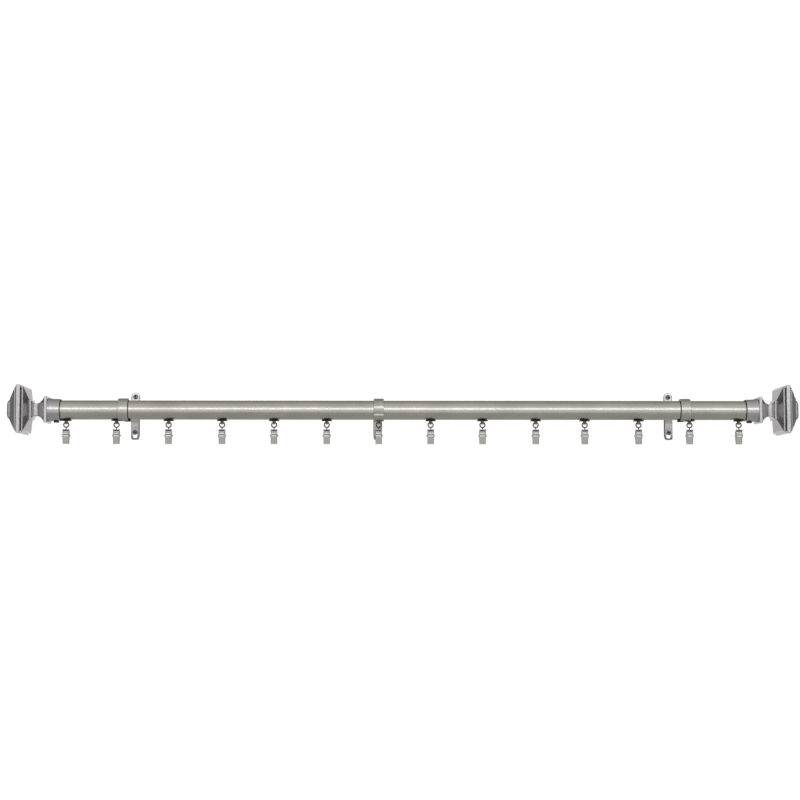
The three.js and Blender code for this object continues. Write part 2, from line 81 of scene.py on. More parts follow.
def new_mesh(name, verts, faces, sharp=32.0, bevel=None, segments=2, cutters=()):
    """A mesh from millimetre points, cut by the cutter meshes, bevelled and evenly shaded."""
    mesh = bpy.data.meshes.new(name)
    mesh.from_pydata([[c * MM for c in v] for v in verts], [], faces)
    work = bmesh.new()
    work.from_mesh(mesh)
    bmesh.ops.remove_doubles(work, verts=work.verts, dist=1e-7)
    bmesh.ops.recalc_face_normals(work, faces=work.faces)
    work.to_mesh(mesh)
    work.free()
    holder = bpy.data.objects.new(name + ".work", mesh)
    bpy.context.scene.collection.objects.link(holder)
    tools = []
    for cutter in cutters:
        tool = bpy.data.objects.new(cutter.name + ".tool", cutter)
        bpy.context.scene.collection.objects.link(tool)
        modifier = holder.modifiers.new("cut", "BOOLEAN")
        modifier.operation = "DIFFERENCE"
        modifier.solver = "EXACT"
        modifier.object = tool
        tools.append(tool)
    if bevel:
        modifier = holder.modifiers.new("edges", "BEVEL")
        modifier.width = bevel * MM
        modifier.segments = segments
        modifier.limit_method = "ANGLE"
        modifier.angle_limit = math.radians(sharp)
    made = baked(holder)
    made.polygons.foreach_set("use_smooth", [True] * len(made.polygons))
    made.set_sharp_from_angle(angle=math.radians(sharp + 8))
    holder.modifiers.clear()
    holder.data = made
    weighted = holder.modifiers.new("normals", "WEIGHTED_NORMAL")
    weighted.keep_sharp = True
    final = baked(holder)
    final.name = name
    for extra in [holder, *tools]:
        bpy.data.objects.remove(extra)
    return final


def baked(holder):
    """The object's mesh with its modifiers applied."""
    graph = bpy.context.evaluated_depsgraph_get()
    return bpy.data.meshes.new_from_object(holder.evaluated_get(graph))


def joined(*parts):
    """Several (verts, faces) lists as one."""
    verts, faces = [], []
    for part_verts, part_faces in parts:
        base = len(verts)
        verts.extend(part_verts)
        faces.extend([[base + i for i in face] for face in part_faces])
    return verts, faces


def moved(part, offset):
    """A (verts, faces) part at an offset."""
    verts, faces = part
    return [tuple(Vector(v) + Vector(offset)) for v in verts], faces


def ease(share):
    """A smooth step from 0 to 1 as share goes from 0 to 1."""
    share = min(1.0, max(0.0, share))
    return share * share * (3 - 2 * share)


def loft(rings, closed=False, caps=True):
    """Quads between rings of equal length, with a cap on the first and the last ring."""
    count = len(rings[0])
    verts = [tuple(p) for ring in rings for p in ring]
    faces = []
    spans = len(rings) if closed else len(rings) - 1
    for i in range(spans):
        a, b = i * count, (i + 1) % len(rings) * count
        for j in range(count):
            k = (j + 1) % count
            faces.append([a + j, a + k, b + k, b + j])
    if caps and not closed:
        faces.append(list(range(count))[::-1])
        faces.append(list(range(len(verts) - count, len(verts))))
    return verts, faces


def turned(profile, sides, axis="x"):
    """A solid of revolution from (along, radius) pairs, which start and end near the axis."""
    rings = []
    for along, radius in profile:
        ring = []
        for i in range(sides):
            angle = TAU * i / sides
            c, s = radius * math.cos(angle), radius * math.sin(angle)
            ring.append({"x": (along, c, s), "y": (s, along, c), "z": (c, s, along)}[axis])
        rings.append(ring)
    return loft(rings)


def c_band(outer, inner, mouth, low, high, steps, lip=None):
    """A round band open at the bottom, about X, between low and high."""
    rings = []
    start_out = -math.pi / 2 + math.asin(mouth / 2 / outer)
    start_in = -math.pi / 2 + math.asin(mouth / 2 / inner)
    for i in range(steps + 1):
        share = i / steps
        a_out = start_out + share * (math.pi - 2 * start_out)
        a_in = start_in + share * (math.pi - 2 * start_in)
        grow = lip(a_out) if lip else 0.0
        out = ((outer + grow) * math.cos(a_out), (outer + grow) * math.sin(a_out))
        core = (inner * math.cos(a_in), inner * math.sin(a_in))
        rings.append([
            (low, out[0], out[1]), (high, out[0], out[1]),
            (high, core[0], core[1]), (low, core[0], core[1]),
        ])
    return loft(rings)


def prism(outline, low, high, axis="y"):
    """A closed outline of (across, up) pairs, extruded along an axis."""
    place = {
        "y": lambda a, b, t: (a, t, b),
        "x": lambda a, b, t: (t, a, b),
        "z": lambda a, b, t: (a, b, t),
    }[axis]
    return loft([[place(a, b, t) for a, b in outline] for t in (low, high)])


def stadium(width, bottom, top, steps=12):
    """A slot with round ends, as an outline in (x, z)."""
    r = width / 2
    points = []
    for i in range(steps + 1):
        angle = math.pi * i / steps
        points.append((r * math.cos(angle), top - r + r * math.sin(angle)))
    for i in range(steps + 1):
        angle = math.pi + math.pi * i / steps
        points.append((r * math.cos(angle), bottom + r + r * math.sin(angle)))
    return points


def round_box(low, high, corner, steps=4, axis="z"):
    """A box whose edges along one axis are rounded."""
    order = {"z": (0, 1, 2), "y": (0, 2, 1), "x": (1, 2, 0)}[axis]
    a0, b0, t0 = (low[i] for i in order)
    a1, b1, t1 = (high[i] for i in order)
    outline = []
    for ca, cb, start in (
        (a1 - corner, b1 - corner, 0), (a0 + corner, b1 - corner, 1),
        (a0 + corner, b0 + corner, 2), (a1 - corner, b0 + corner, 3),
    ):
        for i in range(steps + 1):
            angle = (start + i / steps) * math.pi / 2
            outline.append((ca + corner * math.cos(angle), cb + corner * math.sin(angle)))
    return prism(outline, t0, t1, axis)


def tube(path, radius, sides=10, closed=False):
    """A round wire along a path of points, with its ends capped."""
    points = [Vector(p) for p in path]
    count = len(points)
    rings = []
    side = None
    for i, point in enumerate(points):
        if closed:
            ahead, behind = points[(i + 1) % count], points[i - 1]
        else:
            ahead, behind = points[min(i + 1, count - 1)], points[max(i - 1, 0)]
        along = (ahead - behind).normalized()
        if side is None:
            side = along.orthogonal().normalized()
        side = (side - along * side.dot(along)).normalized()
        up = along.cross(side)
        rings.append([
            point + radius * (math.cos(TAU * j / sides) * side + math.sin(TAU * j / sides) * up)
            for j in range(sides)
        ])
    return loft(rings, closed=closed)


# ---- Materials --------------------------------------------------------------------------------


class Nodes:
    """Short calls for building one material's nodes."""

    def __init__(self, name, colour, metallic, roughness):
        self.material = bpy.data.materials.new(name)
        self.material.use_nodes = True
        self.tree = self.material.node_tree
        self.shader = self.tree.nodes["Principled BSDF"]
        self.shader.inputs["Base Color"].default_value = (*colour, 1)
        self.shader.inputs["Metallic"].default_value = metallic
        self.shader.inputs["Roughness"].default_value = roughness
        self.coordinates = self.add("ShaderNodeTexCoord").outputs["Object"]

    def add(self, kind, **settings):
        node = self.tree.nodes.new(kind)
        for key, value in settings.items():
            setattr(node, key, value)
        return node

    def link(self, source, target):
        self.tree.links.new(source, target)

    def noise(self, stretch, detail=3.0, roughness=0.55):
        """Noise whose scale differs along X, Y and Z."""
        mapping = self.add("ShaderNodeMapping")
        mapping.inputs["Scale"].default_value = stretch
        self.link(self.coordinates, mapping.inputs["Vector"])
        noise = self.add("ShaderNodeTexNoise")
        noise.inputs["Scale"].default_value = 1.0
        noise.inputs["Detail"].default_value = detail
        noise.inputs["Roughness"].default_value = roughness
        self.link(mapping.outputs["Vector"], noise.inputs["Vector"])
        return noise.outputs["Fac"]

    def ramp(self, source, stops):
        """A colour ramp over (position, colour) stops."""
        ramp = self.add("ShaderNodeValToRGB")
        elements = ramp.color_ramp.elements
        while len(elements) < len(stops):
            elements.new(0.5)
        for element, (position, colour) in zip(elements, stops):
            element.position = position
            element.color = (*colour, 1)
        self.link(source, ramp.inputs["Fac"])
        return ramp.outputs["Color"]

    def spread(self, source, low, high, start=0.3, end=0.7):
        """The source's middle range mapped onto low..high."""
        spread = self.add("ShaderNodeMapRange")
        spread.inputs["From Min"].default_value = start
        spread.inputs["From Max"].default_value = end
        spread.inputs["To Min"].default_value = low
        spread.inputs["To Max"].default_value = high
        self.link(source, spread.inputs["Value"])
        return spread.outputs["Result"]

    def height(self, low, high):
        """0 below one height of the piece and 1 above another, in millimetres."""
        split = self.add("ShaderNodeSeparateXYZ")
        self.link(self.coordinates, split.inputs[0])
        return self.spread(split.outputs["Z"], 0.0, 1.0, low * MM, high * MM)

    def along(self, start, full, end=None, none=None):
        """How far out along X: rises from start to full, then falls again from end to none."""
        split = self.add("ShaderNodeSeparateXYZ")
        self.link(self.coordinates, split.inputs[0])
        out = self.add("ShaderNodeMath", operation="ABSOLUTE")
        self.link(split.outputs["X"], out.inputs[0])
        rise = self.spread(out.outputs["Value"], 0.0, 1.0, start * MM, full * MM)
        if end is None:
            return rise
        fall = self.spread(out.outputs["Value"], 1.0, 0.0, end * MM, none * MM)
        both = self.add("ShaderNodeMath", operation="MULTIPLY")
        self.link(rise, both.inputs[0])
        self.link(fall, both.inputs[1])
        return both.outputs["Value"]

    def recess(self, reach, shallow, deep):
        """1 inside a screw head's recess: behind its face along Y and near its axis."""
        split = self.add("ShaderNodeSeparateXYZ")
        self.link(self.coordinates, split.inputs[0])
        depth = self.spread(split.outputs["Y"], 0.0, 1.0, shallow * MM, deep * MM)
        flat = self.add("ShaderNodeCombineXYZ")
        self.link(split.outputs["X"], flat.inputs["X"])
        self.link(split.outputs["Z"], flat.inputs["Z"])
        radius = self.add("ShaderNodeVectorMath", operation="LENGTH")
        self.link(flat.outputs["Vector"], radius.inputs[0])
        near = self.spread(radius.outputs["Value"], 1.0, 0.0, (reach - 0.1) * MM, reach * MM)
        both = self.add("ShaderNodeMath", operation="MULTIPLY")
        self.link(depth, both.inputs[0])
        self.link(near, both.inputs[1])
        return both.outputs["Value"]

    def blend(self, share, first, second, kind="MIX"):
        mix = self.add("ShaderNodeMix", data_type="RGBA", blend_type=kind)
        for source, slot in ((share, 0), (first, 6), (second, 7)):
            if isinstance(source, (int, float)):
                mix.inputs[slot].default_value = source
            elif isinstance(source, tuple):
                mix.inputs[slot].default_value = (*source, 1)
            else:
                self.link(source, mix.inputs[slot])
        return mix.outputs[2]

    def bump(self, source, strength, distance, before=None):
        bump = self.add("ShaderNodeBump")
        bump.inputs["Strength"].default_value = strength
        bump.inputs["Distance"].default_value = distance * MM
        self.link(source, bump.inputs["Height"])
        if before is not None:
            self.link(before, bump.inputs["Normal"])
        return bump.outputs["Normal"]

    def wire(self, colour=None, roughness=None, normal=None):
        for source, name in ((colour, "Base Color"), (roughness, "Roughness"), (normal, "Normal")):
            if source is not None:
                self.link(source, self.shader.inputs[name])
        return self.material


# The colour by which each bracket's foot and plate is drawn darker towards its bottom.
FOOT_DARKENING = (0.42, 0.41, 0.39)


def scaled(colour, factor):
    return tuple(min(1.0, c * factor) for c in colour)


def plated(name, colour, roughness, grain, grain_depth, pits=0.0, tarnish=0.12, painted_shade=None,
           foot=None):
    """Satin plating: fine brushing with its own direction, faint clouding and small pits.

    The painted shade band (factor, start, full, end, none) darkens the metal by the factor where
    it lies that far out along X, as for Nodes.along. foot is a pair of heights: the metal is dark
    below the first and clear above the second.
    """
    n = Nodes(name, colour, 1.0, roughness)
    lines = n.noise(grain, 2.0, 0.65)
    cloud = n.noise((26, 26, 26), 3.0, 0.5)
    tone = n.ramp(cloud, [
        (0.25, scaled(colour, 1 - tarnish)), (0.75, scaled(colour, 1 + tarnish * 0.5))])
    streaks = n.ramp(lines, [(0.3, (0.84, 0.84, 0.83)), (0.7, (1.0, 1.0, 1.0))])
    tint = n.blend(0.65, tone, streaks, "MULTIPLY")
    if painted_shade:
        factor, *edges = painted_shade
        dark = n.blend(1.0, tint, (factor, factor, factor), "MULTIPLY")
        tint = n.blend(n.along(*edges), tint, dark)
    if foot:
        dark = n.blend(1.0, tint, FOOT_DARKENING, "MULTIPLY")
        tint = n.blend(n.height(*foot), dark, tint)
    rough = n.spread(lines, roughness * 0.82, roughness * 1.2)
    normal = n.bump(lines, 0.35, grain_depth)
    if pits:
        speckle = n.noise((1400, 1400, 1400), 2.0, 0.6)
        normal = n.bump(speckle, pits, 0.02, normal)
    return n.wire(tint, rough, normal)


def make_materials():
    olive = (0.545, 0.525, 0.475)
    neutral = (0.52, 0.507, 0.513)
    made = {
        "pole": plated("satin_nickel_pole", olive, 0.27, (7, 1500, 1500), 0.0016),
        "ring": plated("satin_nickel_ring", (0.52, 0.508, 0.475), 0.3, (1300, 90, 90), 0.003),
        # The finial's inner sloping facets are darkened by 0.66: painted shade for the darker
        # studio they reflect.
        "casting": plated(
            "satin_nickel_casting", neutral, 0.2, (160, 260, 160), 0.0006, tarnish=0.05,
            painted_shade=(0.66, 42.7, 43.1, 47.6, 48.1)),
        "collar": plated(
            "satin_nickel_collar", neutral, 0.27, (1300, 60, 60), 0.003, tarnish=0.06),
        # The side edges of the strips and plates are darkened by 0.4: painted shade along the
        # edges.
        "strip": plated(
            "satin_nickel_strip", (0.67, 0.655, 0.64), 0.32, (1100, 60, 60), 0.003, tarnish=0.08,
            painted_shade=(0.4, 4.9, 5.8), foot=(-32.5, -28.5)),
        "clip": plated(
            "nickel_clip", (0.54, 0.53, 0.505), 0.33, (900, 900, 70), 0.005, pits=0.06,
            tarnish=0.16),
        # Near-black finish for the clip's eye and hook; on the hook it is painted shade at the
        # jaw's top and in its window.
        "wire": plated(
            "dark_wire_and_painted_shade", (0.085, 0.078, 0.06), 0.36, (400, 400, 400), 0.004, tarnish=0.3),
        "spring": plated("spring_steel", (0.36, 0.36, 0.36), 0.3, (300, 300, 300), 0.004),
    }
    n = Nodes("nickel_screw", (0.6, 0.59, 0.56), 1.0, 0.3)
    worn = n.noise((420, 420, 420), 4.0, 0.7)
    face = n.ramp(worn, [(0.3, (0.5, 0.49, 0.45)), (0.6, (0.66, 0.65, 0.62))])
    # The cross recess is drawn near-black brown.
    pitch = n.ramp(worn, [(0.3, (0.028, 0.026, 0.016)), (0.7, (0.09, 0.085, 0.055))])
    shown = n.blend(n.recess(3.15, 0.15, 0.4), face, pitch)
    made["screw"] = n.wire(shown, n.spread(worn, 0.5, 0.3), n.bump(worn, 0.2, 0.01))
    n = Nodes("blackened_steel", (0.035, 0.033, 0.03), 0.6, 0.45)
    fine = n.noise((500, 500, 500), 4.0, 0.65)
    tint = n.ramp(fine, [(0.4, (0.022, 0.02, 0.018)), (0.75, (0.085, 0.08, 0.07))])
    made["blackened"] = n.wire(tint, n.spread(fine, 0.36, 0.55), n.bump(fine, 0.3, 0.015))
    n = Nodes("black_acetal", (0.02, 0.018, 0.015), 0.0, 0.6)
    n.shader.inputs["Specular IOR Level"].default_value = 0.3
    fine = n.noise((700, 700, 700), 3.0, 0.6)
    tint = n.ramp(fine, [(0.35, (0.014, 0.013, 0.011)), (0.7, (0.034, 0.031, 0.026))])
    made["glider"] = n.wire(tint, n.spread(fine, 0.55, 0.75), n.bump(fine, 0.25, 0.02))
    n = Nodes("ivory_nylon", (0.52, 0.47, 0.33), 0.0, 0.42)
    fine = n.noise((260, 260, 260), 3.0, 0.55)
    # The lug is drawn darker towards its top, next to the glider.
    cream = n.ramp(fine, [(0.3, (0.42, 0.32, 0.25)), (0.7, (0.56, 0.45, 0.37))])
    top_dark = n.ramp(fine, [(0.3, (0.05, 0.038, 0.018)), (0.7, (0.12, 0.095, 0.05))])
    made["lug"] = n.wire(
        n.blend(n.height(-20.3, -18.6), cream, top_dark), n.spread(fine, 0.36, 0.5),
        n.bump(fine, 0.2, 0.02))
    return made


# ---- Placing pieces ---------------------------------------------------------------------------

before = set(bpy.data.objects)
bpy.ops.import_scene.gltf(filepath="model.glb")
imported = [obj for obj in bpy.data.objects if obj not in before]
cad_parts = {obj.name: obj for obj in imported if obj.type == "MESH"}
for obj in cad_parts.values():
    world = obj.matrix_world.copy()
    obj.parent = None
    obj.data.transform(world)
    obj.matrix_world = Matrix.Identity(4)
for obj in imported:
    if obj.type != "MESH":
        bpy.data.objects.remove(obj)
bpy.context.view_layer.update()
MATERIALS = make_materials()


def piece(name, mesh, material, body, offset=(0, 0, 0), replaces=()):
    """Puts a mesh in the scene at an offset in millimetres, riding on a CAD body."""
    shown = bpy.data.objects.new(name, mesh)
    bpy.context.scene.collection.objects.link(shown)
    shown.location = [c * MM for c in offset]
    if not mesh.materials:
        mesh.materials.append(MATERIALS[material])
    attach(shown, body)
    if replaces:
        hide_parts(*replaces)
    return shown


# ---- Pole -------------------------------------------------------------------------------------


def make_pole():
    tube_mesh = new_mesh(
        "pole_tube",
        *c_band(POLE_RADIUS, POLE_RADIUS - POLE_WALL, SLOT_WIDTH, *POLE_ENDS, 120),
        bevel=0.25,
    )
    piece("pole_tube", tube_mesh, "pole", "rod", (0, AXIS_Y, 0), ["pole"])


# ---- Finials ----------------------------------------------------------------------------------


def square_ring(along, half, corner, steps=4):
    """A square with rounded corners, about X."""
    corner = min(corner, half * 0.45)
    core = half - corner
    ring = []
    corners = ((core, core), (-core, core), (-core, -core), (core, -core))
    for quarter, (cy, cz) in enumerate(corners):
        for i in range(steps + 1):
            angle = (quarter + i / steps) * math.pi / 2
            ring.append((along, cy + corner * math.cos(angle), cz + corner * math.sin(angle)))
    return ring


def bezier(start, control, end, steps):
    points = []
    for i in range(steps + 1):
        t = i / steps
        points.append(tuple(
            (1 - t) ** 2 * a + 2 * t * (1 - t) * b + t * t * c
            for a, b, c in zip(start, control, end)
        ))
    return points


def head_profile():
    """(distance from the collar's open end, half of the square's side, corner radius)."""
    flange = [
        (16.9, 2.0), (16.9, 18.3), (17.2, 18.75), (17.4, 18.8), (20.9, 18.8), (21.2, 18.6),
        (21.35, 18.2), (21.6, 17.2),
    ]
    neck = bezier((21.6, 17.2), (27.6, 8.8), (34.2, 8.8), 14)[1:]
    rise = bezier((34.2, 8.8), (38.4, 9.0), (40.0, 13.2), 10)[1:]
    head = [
        (40.15, 14.0), (40.4, 14.4), (42.6, 14.4), (42.9, 14.1),
        (48.0, 30.6), (48.2, 31.6), (48.7, 32.3), (49.4, 32.5), (50.1, 32.3), (50.5, 31.8),
        (51.2, 29.2), (51.4, 29.2), (52.2, 33.4), (52.4, 34.1), (52.9, 34.4), (57.4, 34.4),
        (57.8, 34.2), (58.0, 33.6), (59.6, 31.4), (59.7, 30.8), (61.0, 30.5), (61.1, 29.7),
        (66.8, 21.3), (67.2, 20.2), (70.1, 16.3), (70.25, 16.0), (70.4, 14.0),
    ]
    dome = []
    for i in range(13):
        angle = (i / 12) * math.pi / 2
        half = 13.8 * math.cos(angle) ** 0.75 if i < 12 else 0.25
        dome.append((71.5 + 5.0 * math.sin(angle), half))
    rounded = [(a, h, 0.7) for a, h in flange]
    rounded += [(a, h, 1.1) for a, h in neck + rise]
    rounded += [(a, h, 0.9) for a, h in head]
    rounded += [(a, h, max(1.2, 0.3 * h)) for a, h in dome]
    return rounded


# (distance from the collar's open end, radius), from the bottom of its bore out and round.
COLLAR_PROFILE = [
    (15.0, 0.02), (15.0, 14.3), (0.25, 14.3), (0.0, 14.55), (0.0, 15.5), (0.2, 15.8), (0.8, 16.0),
    (8.0, 16.1), (12.0, 16.3), (14.0, 16.65), (15.6, 17.1), (16.5, 17.3), (17.2, 17.3),
    (17.2, 0.02),
]
LOCK_SCREW_FROM_END = 6


def make_finials():
    """The finials are drawn once, for the right end, and turned half round for the left."""
    head = new_mesh(
        "finial_head", *loft([square_ring(*row) for row in head_profile()]), sharp=38)
    collar = new_mesh("finial_collar", *turned(COLLAR_PROFILE, 96), sharp=40)
    # A thin black sleeve in the collar's mouth, standing out past it: mostly painted shade, the
    # dark line of the contact shadow between collar and pole.
    shade_sleeve = new_mesh(
        "finial_shade_sleeve", *c_band(15.1, SHADE_SLEEVE_INNER, SHADE_SLEEVE_MOUTH, -0.8, 0.6, 72), sharp=40)
    screw = new_mesh("finial_lock_screw", *lock_screw_parts(), bevel=0.15, cutters=[
        new_mesh("driver_slot", *round_box((-4.5, -0.55, -18.7), (4.5, 0.55, -17.3), 0.1))])
    for side, collar_end in COLLAR_ENDS.items():
        turn = Matrix.Rotation(math.pi if side == "left" else 0.0, 4, "Z")
        at = (collar_end, AXIS_Y, 0)
        for kind, mesh, material in (
            ("head", head, "casting"), ("collar", collar, "collar"), ("shade_sleeve", shade_sleeve, "glider"),
        ):
            shown = piece(f"finial_{kind}_{side}", mesh, material, "rod",
                          at,
                          [f"finial_{side}"] if kind == "head" else ())
            shown.matrix_world = Matrix.Translation([c * MM for c in at]) @ turn
        direction = -1 if side == "left" else 1
        piece(f"finial_lock_screw_{side}", screw, "blackened", "rod",
              (collar_end + LOCK_SCREW_FROM_END * direction, AXIS_Y, 0),
              [f"finial_screw_{side}"])


def lock_screw_parts():
    """The screw under a finial's collar, with its head down."""
    profile = [
        (-12.9, 0.02), (-12.9, 1.7), (-13.2, 2.0), (-16.3, 2.0), (-16.3, 4.0),
        (-17.8, 4.0), (-18.1, 3.7), (-18.1, 0.02),
    ]
    return turned(profile, 32, "z")


# ---- Brackets ---------------------------------------------------------------------------------


def strip_path():
    """The strip's centreline from its foot, up the wall and out to the ring: (y, z) pairs."""
    wall_y = -PLATE_THICKNESS - GAP - STRIP / 2
    radius = ARM_BEND_RADIUS - STRIP / 2
    centre = (wall_y - radius, -radius)
    path = [(wall_y, -PLATE_REACH + t) for t in (0.0, 0.12, 0.45, 0.95, 1.6, 2.3, 3.0, 9.0, 15.5)]
    path += [(wall_y, z) for z in (-18.5, -16.0)]
    for i in range(15):
        angle = (i / 14) * math.pi / 2
        path.append((centre[0] + radius * math.cos(angle), centre[1] + radius * math.sin(angle)))
    path += [(y, 0.0) for y in (-40.0, -70.0, -100.0, AXIS_Y + 15.4)]
    return path


def strip_half_width(z):
    """Half of the strip's width: a rounded foot, then a taper to the arm above the slot."""
    foot, arm = FOOT_WIDTH / 2, ARM_WIDTH / 2
    rise = z + PLATE_REACH
    if rise < FOOT_CORNER:
        return foot - FOOT_CORNER + math.sqrt(FOOT_CORNER ** 2 - (FOOT_CORNER - rise) ** 2)
    return foot + (arm - foot) * ease((z - FOOT_SLOT_TOP) / 12)


def strip_parts():
    """The flat strip, swept along its centreline."""
    path = strip_path()
    rings = []
    for i, (y, z) in enumerate(path):
        ahead, behind = path[min(i + 1, len(path) - 1)], path[max(i - 1, 0)]
        along = Vector((0, ahead[0] - behind[0], ahead[1] - behind[1])).normalized()
        out = Vector((0, -along.z, along.y)) * (STRIP / 2)
        half = max(strip_half_width(z), 0.3)
        middle = Vector((0, y, z))
        rings.append([
            middle + out + Vector((half, 0, 0)), middle + out - Vector((half, 0, 0)),
            middle - out - Vector((half, 0, 0)), middle - out + Vector((half, 0, 0)),
        ])
    return loft(rings)


def centre_lip(angle):
    """The centre ring's front: a shallow hollow below the axis, steep at its lower edge."""
    if math.cos(angle) > 0:
        return 0.0
    rise = math.degrees(math.asin(max(-1.0, min(1.0, math.sin(angle)))))
    upper = ease((25 - rise) / 49)
    lower = ease((rise + 33.5) / 13)
    return -1.2 * upper * lower


def screw_parts(length=26.0):
    """A pan head, a plain neck and a threaded shank with a point, along +Y from the head."""
    head = [
        (0.0, 0.02), (0.02, 1.2), (0.16, 2.15), (0.42, 2.85), (0.77, 3.35), (1.2, 3.68),
        (1.76, 3.88), (2.1, 3.85), (SCREW_HEAD_HEIGHT, 3.7), (SCREW_HEAD_HEIGHT, 1.75),
        (4.2, 1.75), (4.2, 0.02),
    ]
    sides, pitch, start, point = 24, 1.55, 4.0, 5.0
    rings = []
    steps = int((length - start) / pitch * 8)
    for i in range(steps + 1):
        along = start + (length - start) * i / steps
        taper = min(1.0, (length - along) / point)
        ring = []
        for j in range(sides):
            phase = (along / pitch - j / sides) % 1.0
            ridge = max(0.0, 1 - abs(phase - 0.5) * 3.4)
            radius = max(0.03, (1.38 + 0.5 * ridge) * taper)
            angle = TAU * j / sides
            ring.append((radius * math.sin(angle), along, radius * math.cos(angle)))
        rings.append(ring)
    return turned(head, 48, "y"), loft(rings)


def make_screw_mesh():
    """One wall screw: the head with a cross recess, and the threaded shank."""
    head, thread = screw_parts()
    half, thin = 2.95, 0.75
    cutters = [
        new_mesh("recess_a", *round_box((-half, -1, -thin), (half, 1.2, thin), 0.1, axis="y")),
        new_mesh("recess_b", *round_box((-thin, -1, -half), (thin, 1.2, half), 0.1, axis="y")),
    ]
    solid = new_mesh("wall_screw_head", *head, sharp=40, cutters=cutters)
    shank = new_mesh("wall_screw_thread", *thread, sharp=60)
    work = bmesh.new()
    work.from_mesh(solid)
    work.from_mesh(shank)
    mesh = bpy.data.meshes.new("wall_screw")
    work.to_mesh(mesh)
    work.free()
    return mesh


def make_brackets():
    across = FOOT_SLOT_WIDTH / 2
    slot_tool = round_box(
        (-across, -12, FOOT_SLOT_BOTTOM), (across, 1, FOOT_SLOT_TOP), FOOT_SLOT_CORNER, 6, "y")
    screw = make_screw_mesh()
    strip = new_mesh("bracket_strip", *strip_parts(), bevel=1.15, segments=4, cutters=[
        new_mesh("strip_slot", *slot_tool)])
    ring = (RING_OUTER, RING_INNER, RING_MOUTH, -RING_WIDTH / 2, RING_WIDTH / 2)
    band = new_mesh("bracket_ring", *c_band(*ring, 96), bevel=0.4, segments=3)
    formed = new_mesh(
        "bracket_ring_formed", *c_band(*ring, 200, centre_lip), bevel=0.4, segments=3)
    foot_screw_y = -PLATE_THICKNESS - GAP - STRIP - GAP - SCREW_HEAD_HEIGHT
    ear_screw_y = -PLATE_THICKNESS - GAP - SCREW_HEAD_HEIGHT
    for side, station in BRACKETS.items():
        cutters = [new_mesh("plate_slot", *slot_tool)]
        if side != "centre":
            half = EAR_HOLE_DIAMETER / 2
            hole = stadium(EAR_HOLE_DIAMETER, EAR_HOLE_HEIGHT - half, EAR_HOLE_HEIGHT + half)
            cutters.append(new_mesh("plate_hole", *prism(hole[:-1], -4, 2)))
        outline = stadium(PLATE_WIDTH, -PLATE_REACH, PLATE_TOPS[side], 20)
        plate = new_mesh(f"wall_plate_{side}", *prism(outline, -PLATE_THICKNESS, 0),
                         bevel=0.6, segments=3, cutters=cutters)
        piece(f"bracket_plate_{side}", plate, "strip", "rod", (station, 0, 0),
              [f"wall_plate_{side}"])
        piece(f"bracket_strip_{side}", strip, "strip", "rod", (station, 0, 0),
              [f"arm_{side}"])
        piece(f"bracket_ring_{side}", formed if side == "centre" else band, "ring", "rod",
              (station, AXIS_Y, 0))
        foot_z = FOOT_SLOT_TOP - FOOT_SLOT_WIDTH / 2
        piece(f"bracket_foot_screw_{side}", screw, "screw", "rod",
              (station, foot_screw_y, foot_z), [f"foot_screw_{side}"])
        if side != "centre":
            piece(f"bracket_ear_screw_{side}", screw, "screw", "rod",
                  (station, ear_screw_y, EAR_HOLE_HEIGHT), [f"ear_screw_{side}"])


def make_shade_sleeves():
    """The thin black sleeve between each end ring and the pole. It stands out past both edges of
    the ring to draw a dark line there, which is mostly painted shade: the contact shadow between
    ring and pole.
    """
    for side, inward in (("left", 1), ("right", -1)):
        low, high = sorted((-inward * (RING_WIDTH / 2 + 0.6), inward * (RING_WIDTH / 2 + 0.8)))
        sleeve = c_band(RING_INNER - 0.02, SHADE_SLEEVE_INNER, SHADE_SLEEVE_MOUTH, low, high, 72)
        mesh = new_mesh(f"ring_liner_{side}", *sleeve, sharp=40)
        piece(f"ring_liner_{side}", mesh, "glider", "rod", (BRACKETS[side], AXIS_Y, 0))


def make_stops():
    """The track stops: a foot in the pole, a neck through the slot and a plate under it."""
    half = STOP_LENGTH / 2
    parts = joined(
        round_box((-half, -5.2, -11.2), (half, 5.2, -9.6), 0.8),
        round_box((-half + 0.2, -3.1, -14.6), (half - 0.2, 3.1, -10.8), 0.8),
        round_box((-half, -4.5, -16.5), (half, 4.5, -14.3), 1.0),
    )
    stop = new_mesh("track_stop", *parts, bevel=0.2)
    for side, inward in (("left", 1), ("right", -1)):
        ring_face = BRACKETS[side] + inward * RING_WIDTH / 2
        piece(f"track_stop_{side}_moulding", stop, "glider", "rod",
              (ring_face + inward * (STOP_REACH - half), AXIS_Y, 0), [f"track_stop_{side}"])


# ---- Gliders ----------------------------------------------------------------------------------


def glider_parts():
    """A glider's foot in the pole, its neck, the plate under the slot and the lug's shoulder."""
    return joined(
        round_box((-6, -5.5, -11.2), (6, 5.5, -8.7), 1.2),
        round_box((-6, -2.6, -14.6), (6, 2.6, -10.9), 0.8),
        round_box((-7.5, -4.5, -15.6), (7.5, 4.5, -14.3), 1.4),
        round_box((-2.9, -2.4, -16.3), (2.9, 2.4, -15.4), 0.8),
    )


def lug_outline(radius, centre, top, steps=14):
    """The lug's tab: square at its top and round at its foot."""
    points = [(radius + 0.5, top), (-radius - 0.5, top)]
    for i in range(steps + 1):
        angle = math.pi + math.pi * i / steps
        points.append((radius * math.cos(angle), centre + radius * math.sin(angle)))
    return points


